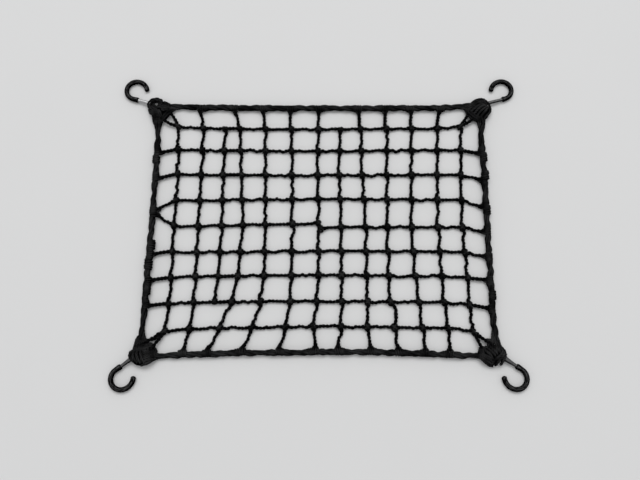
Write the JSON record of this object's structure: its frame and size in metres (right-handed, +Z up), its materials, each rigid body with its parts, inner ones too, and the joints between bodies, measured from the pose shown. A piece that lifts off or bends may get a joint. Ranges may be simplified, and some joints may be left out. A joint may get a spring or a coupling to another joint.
{
  "type": "cargo net",
  "caption": "Elastic cargo net laid flat: a mesh of thin cord tied inside a rope border, with a coated open wire hook lashed into each corner.",
  "frame": {"origin": "under the middle of the net's bounding box, on the surface it lies on", "axes": "+X along the net's long side, +Y towards its top border, +Z up from the surface"},
  "size_m": [0.4894, 0.388, 0.0145],
  "materials": {
    "mesh_cord": "black twisted elastic cord, matte",
    "border_rope": "black braided rope, matte",
    "hook_coating": "black dipped plastic, soft gloss",
    "hook_wire": "drawn steel wire"
  },
  "bodies": {
    "root": {"down_01": "mesh_cord", "down_02": "mesh_cord", "down_03": "mesh_cord", "down_04": "mesh_cord", "down_05": "mesh_cord", "down_06": "mesh_cord", "down_07": "mesh_cord", "down_08": "mesh_cord", "down_09": "mesh_cord", "down_10": "mesh_cord", "down_11": "mesh_cord", "down_12": "mesh_cord", "down_13": "mesh_cord", "across_1": "mesh_cord", "across_2": "mesh_cord", "across_3": "mesh_cord", "across_4": "mesh_cord", "across_5": "mesh_cord", "across_6": "mesh_cord", "across_7": "mesh_cord", "across_8": "mesh_cord", "across_9": "mesh_cord", "rope_top": "border_rope", "rope_bottom": "border_rope", "rope_left": "border_rope", "rope_right": "border_rope", "knot_top_left": "border_rope", "shank_top_left": "hook_wire", "hook_top_left": "hook_coating", "knot_top_right": "border_rope", "shank_top_right": "hook_wire", "hook_top_right": "hook_coating", "knot_bottom_left": "border_rope", "shank_bottom_left": "hook_wire", "hook_bottom_left": "hook_coating", "knot_bottom_right": "border_rope", "shank_bottom_right": "hook_wire", "hook_bottom_right": "hook_coating"}
  },
  "joints": []
}
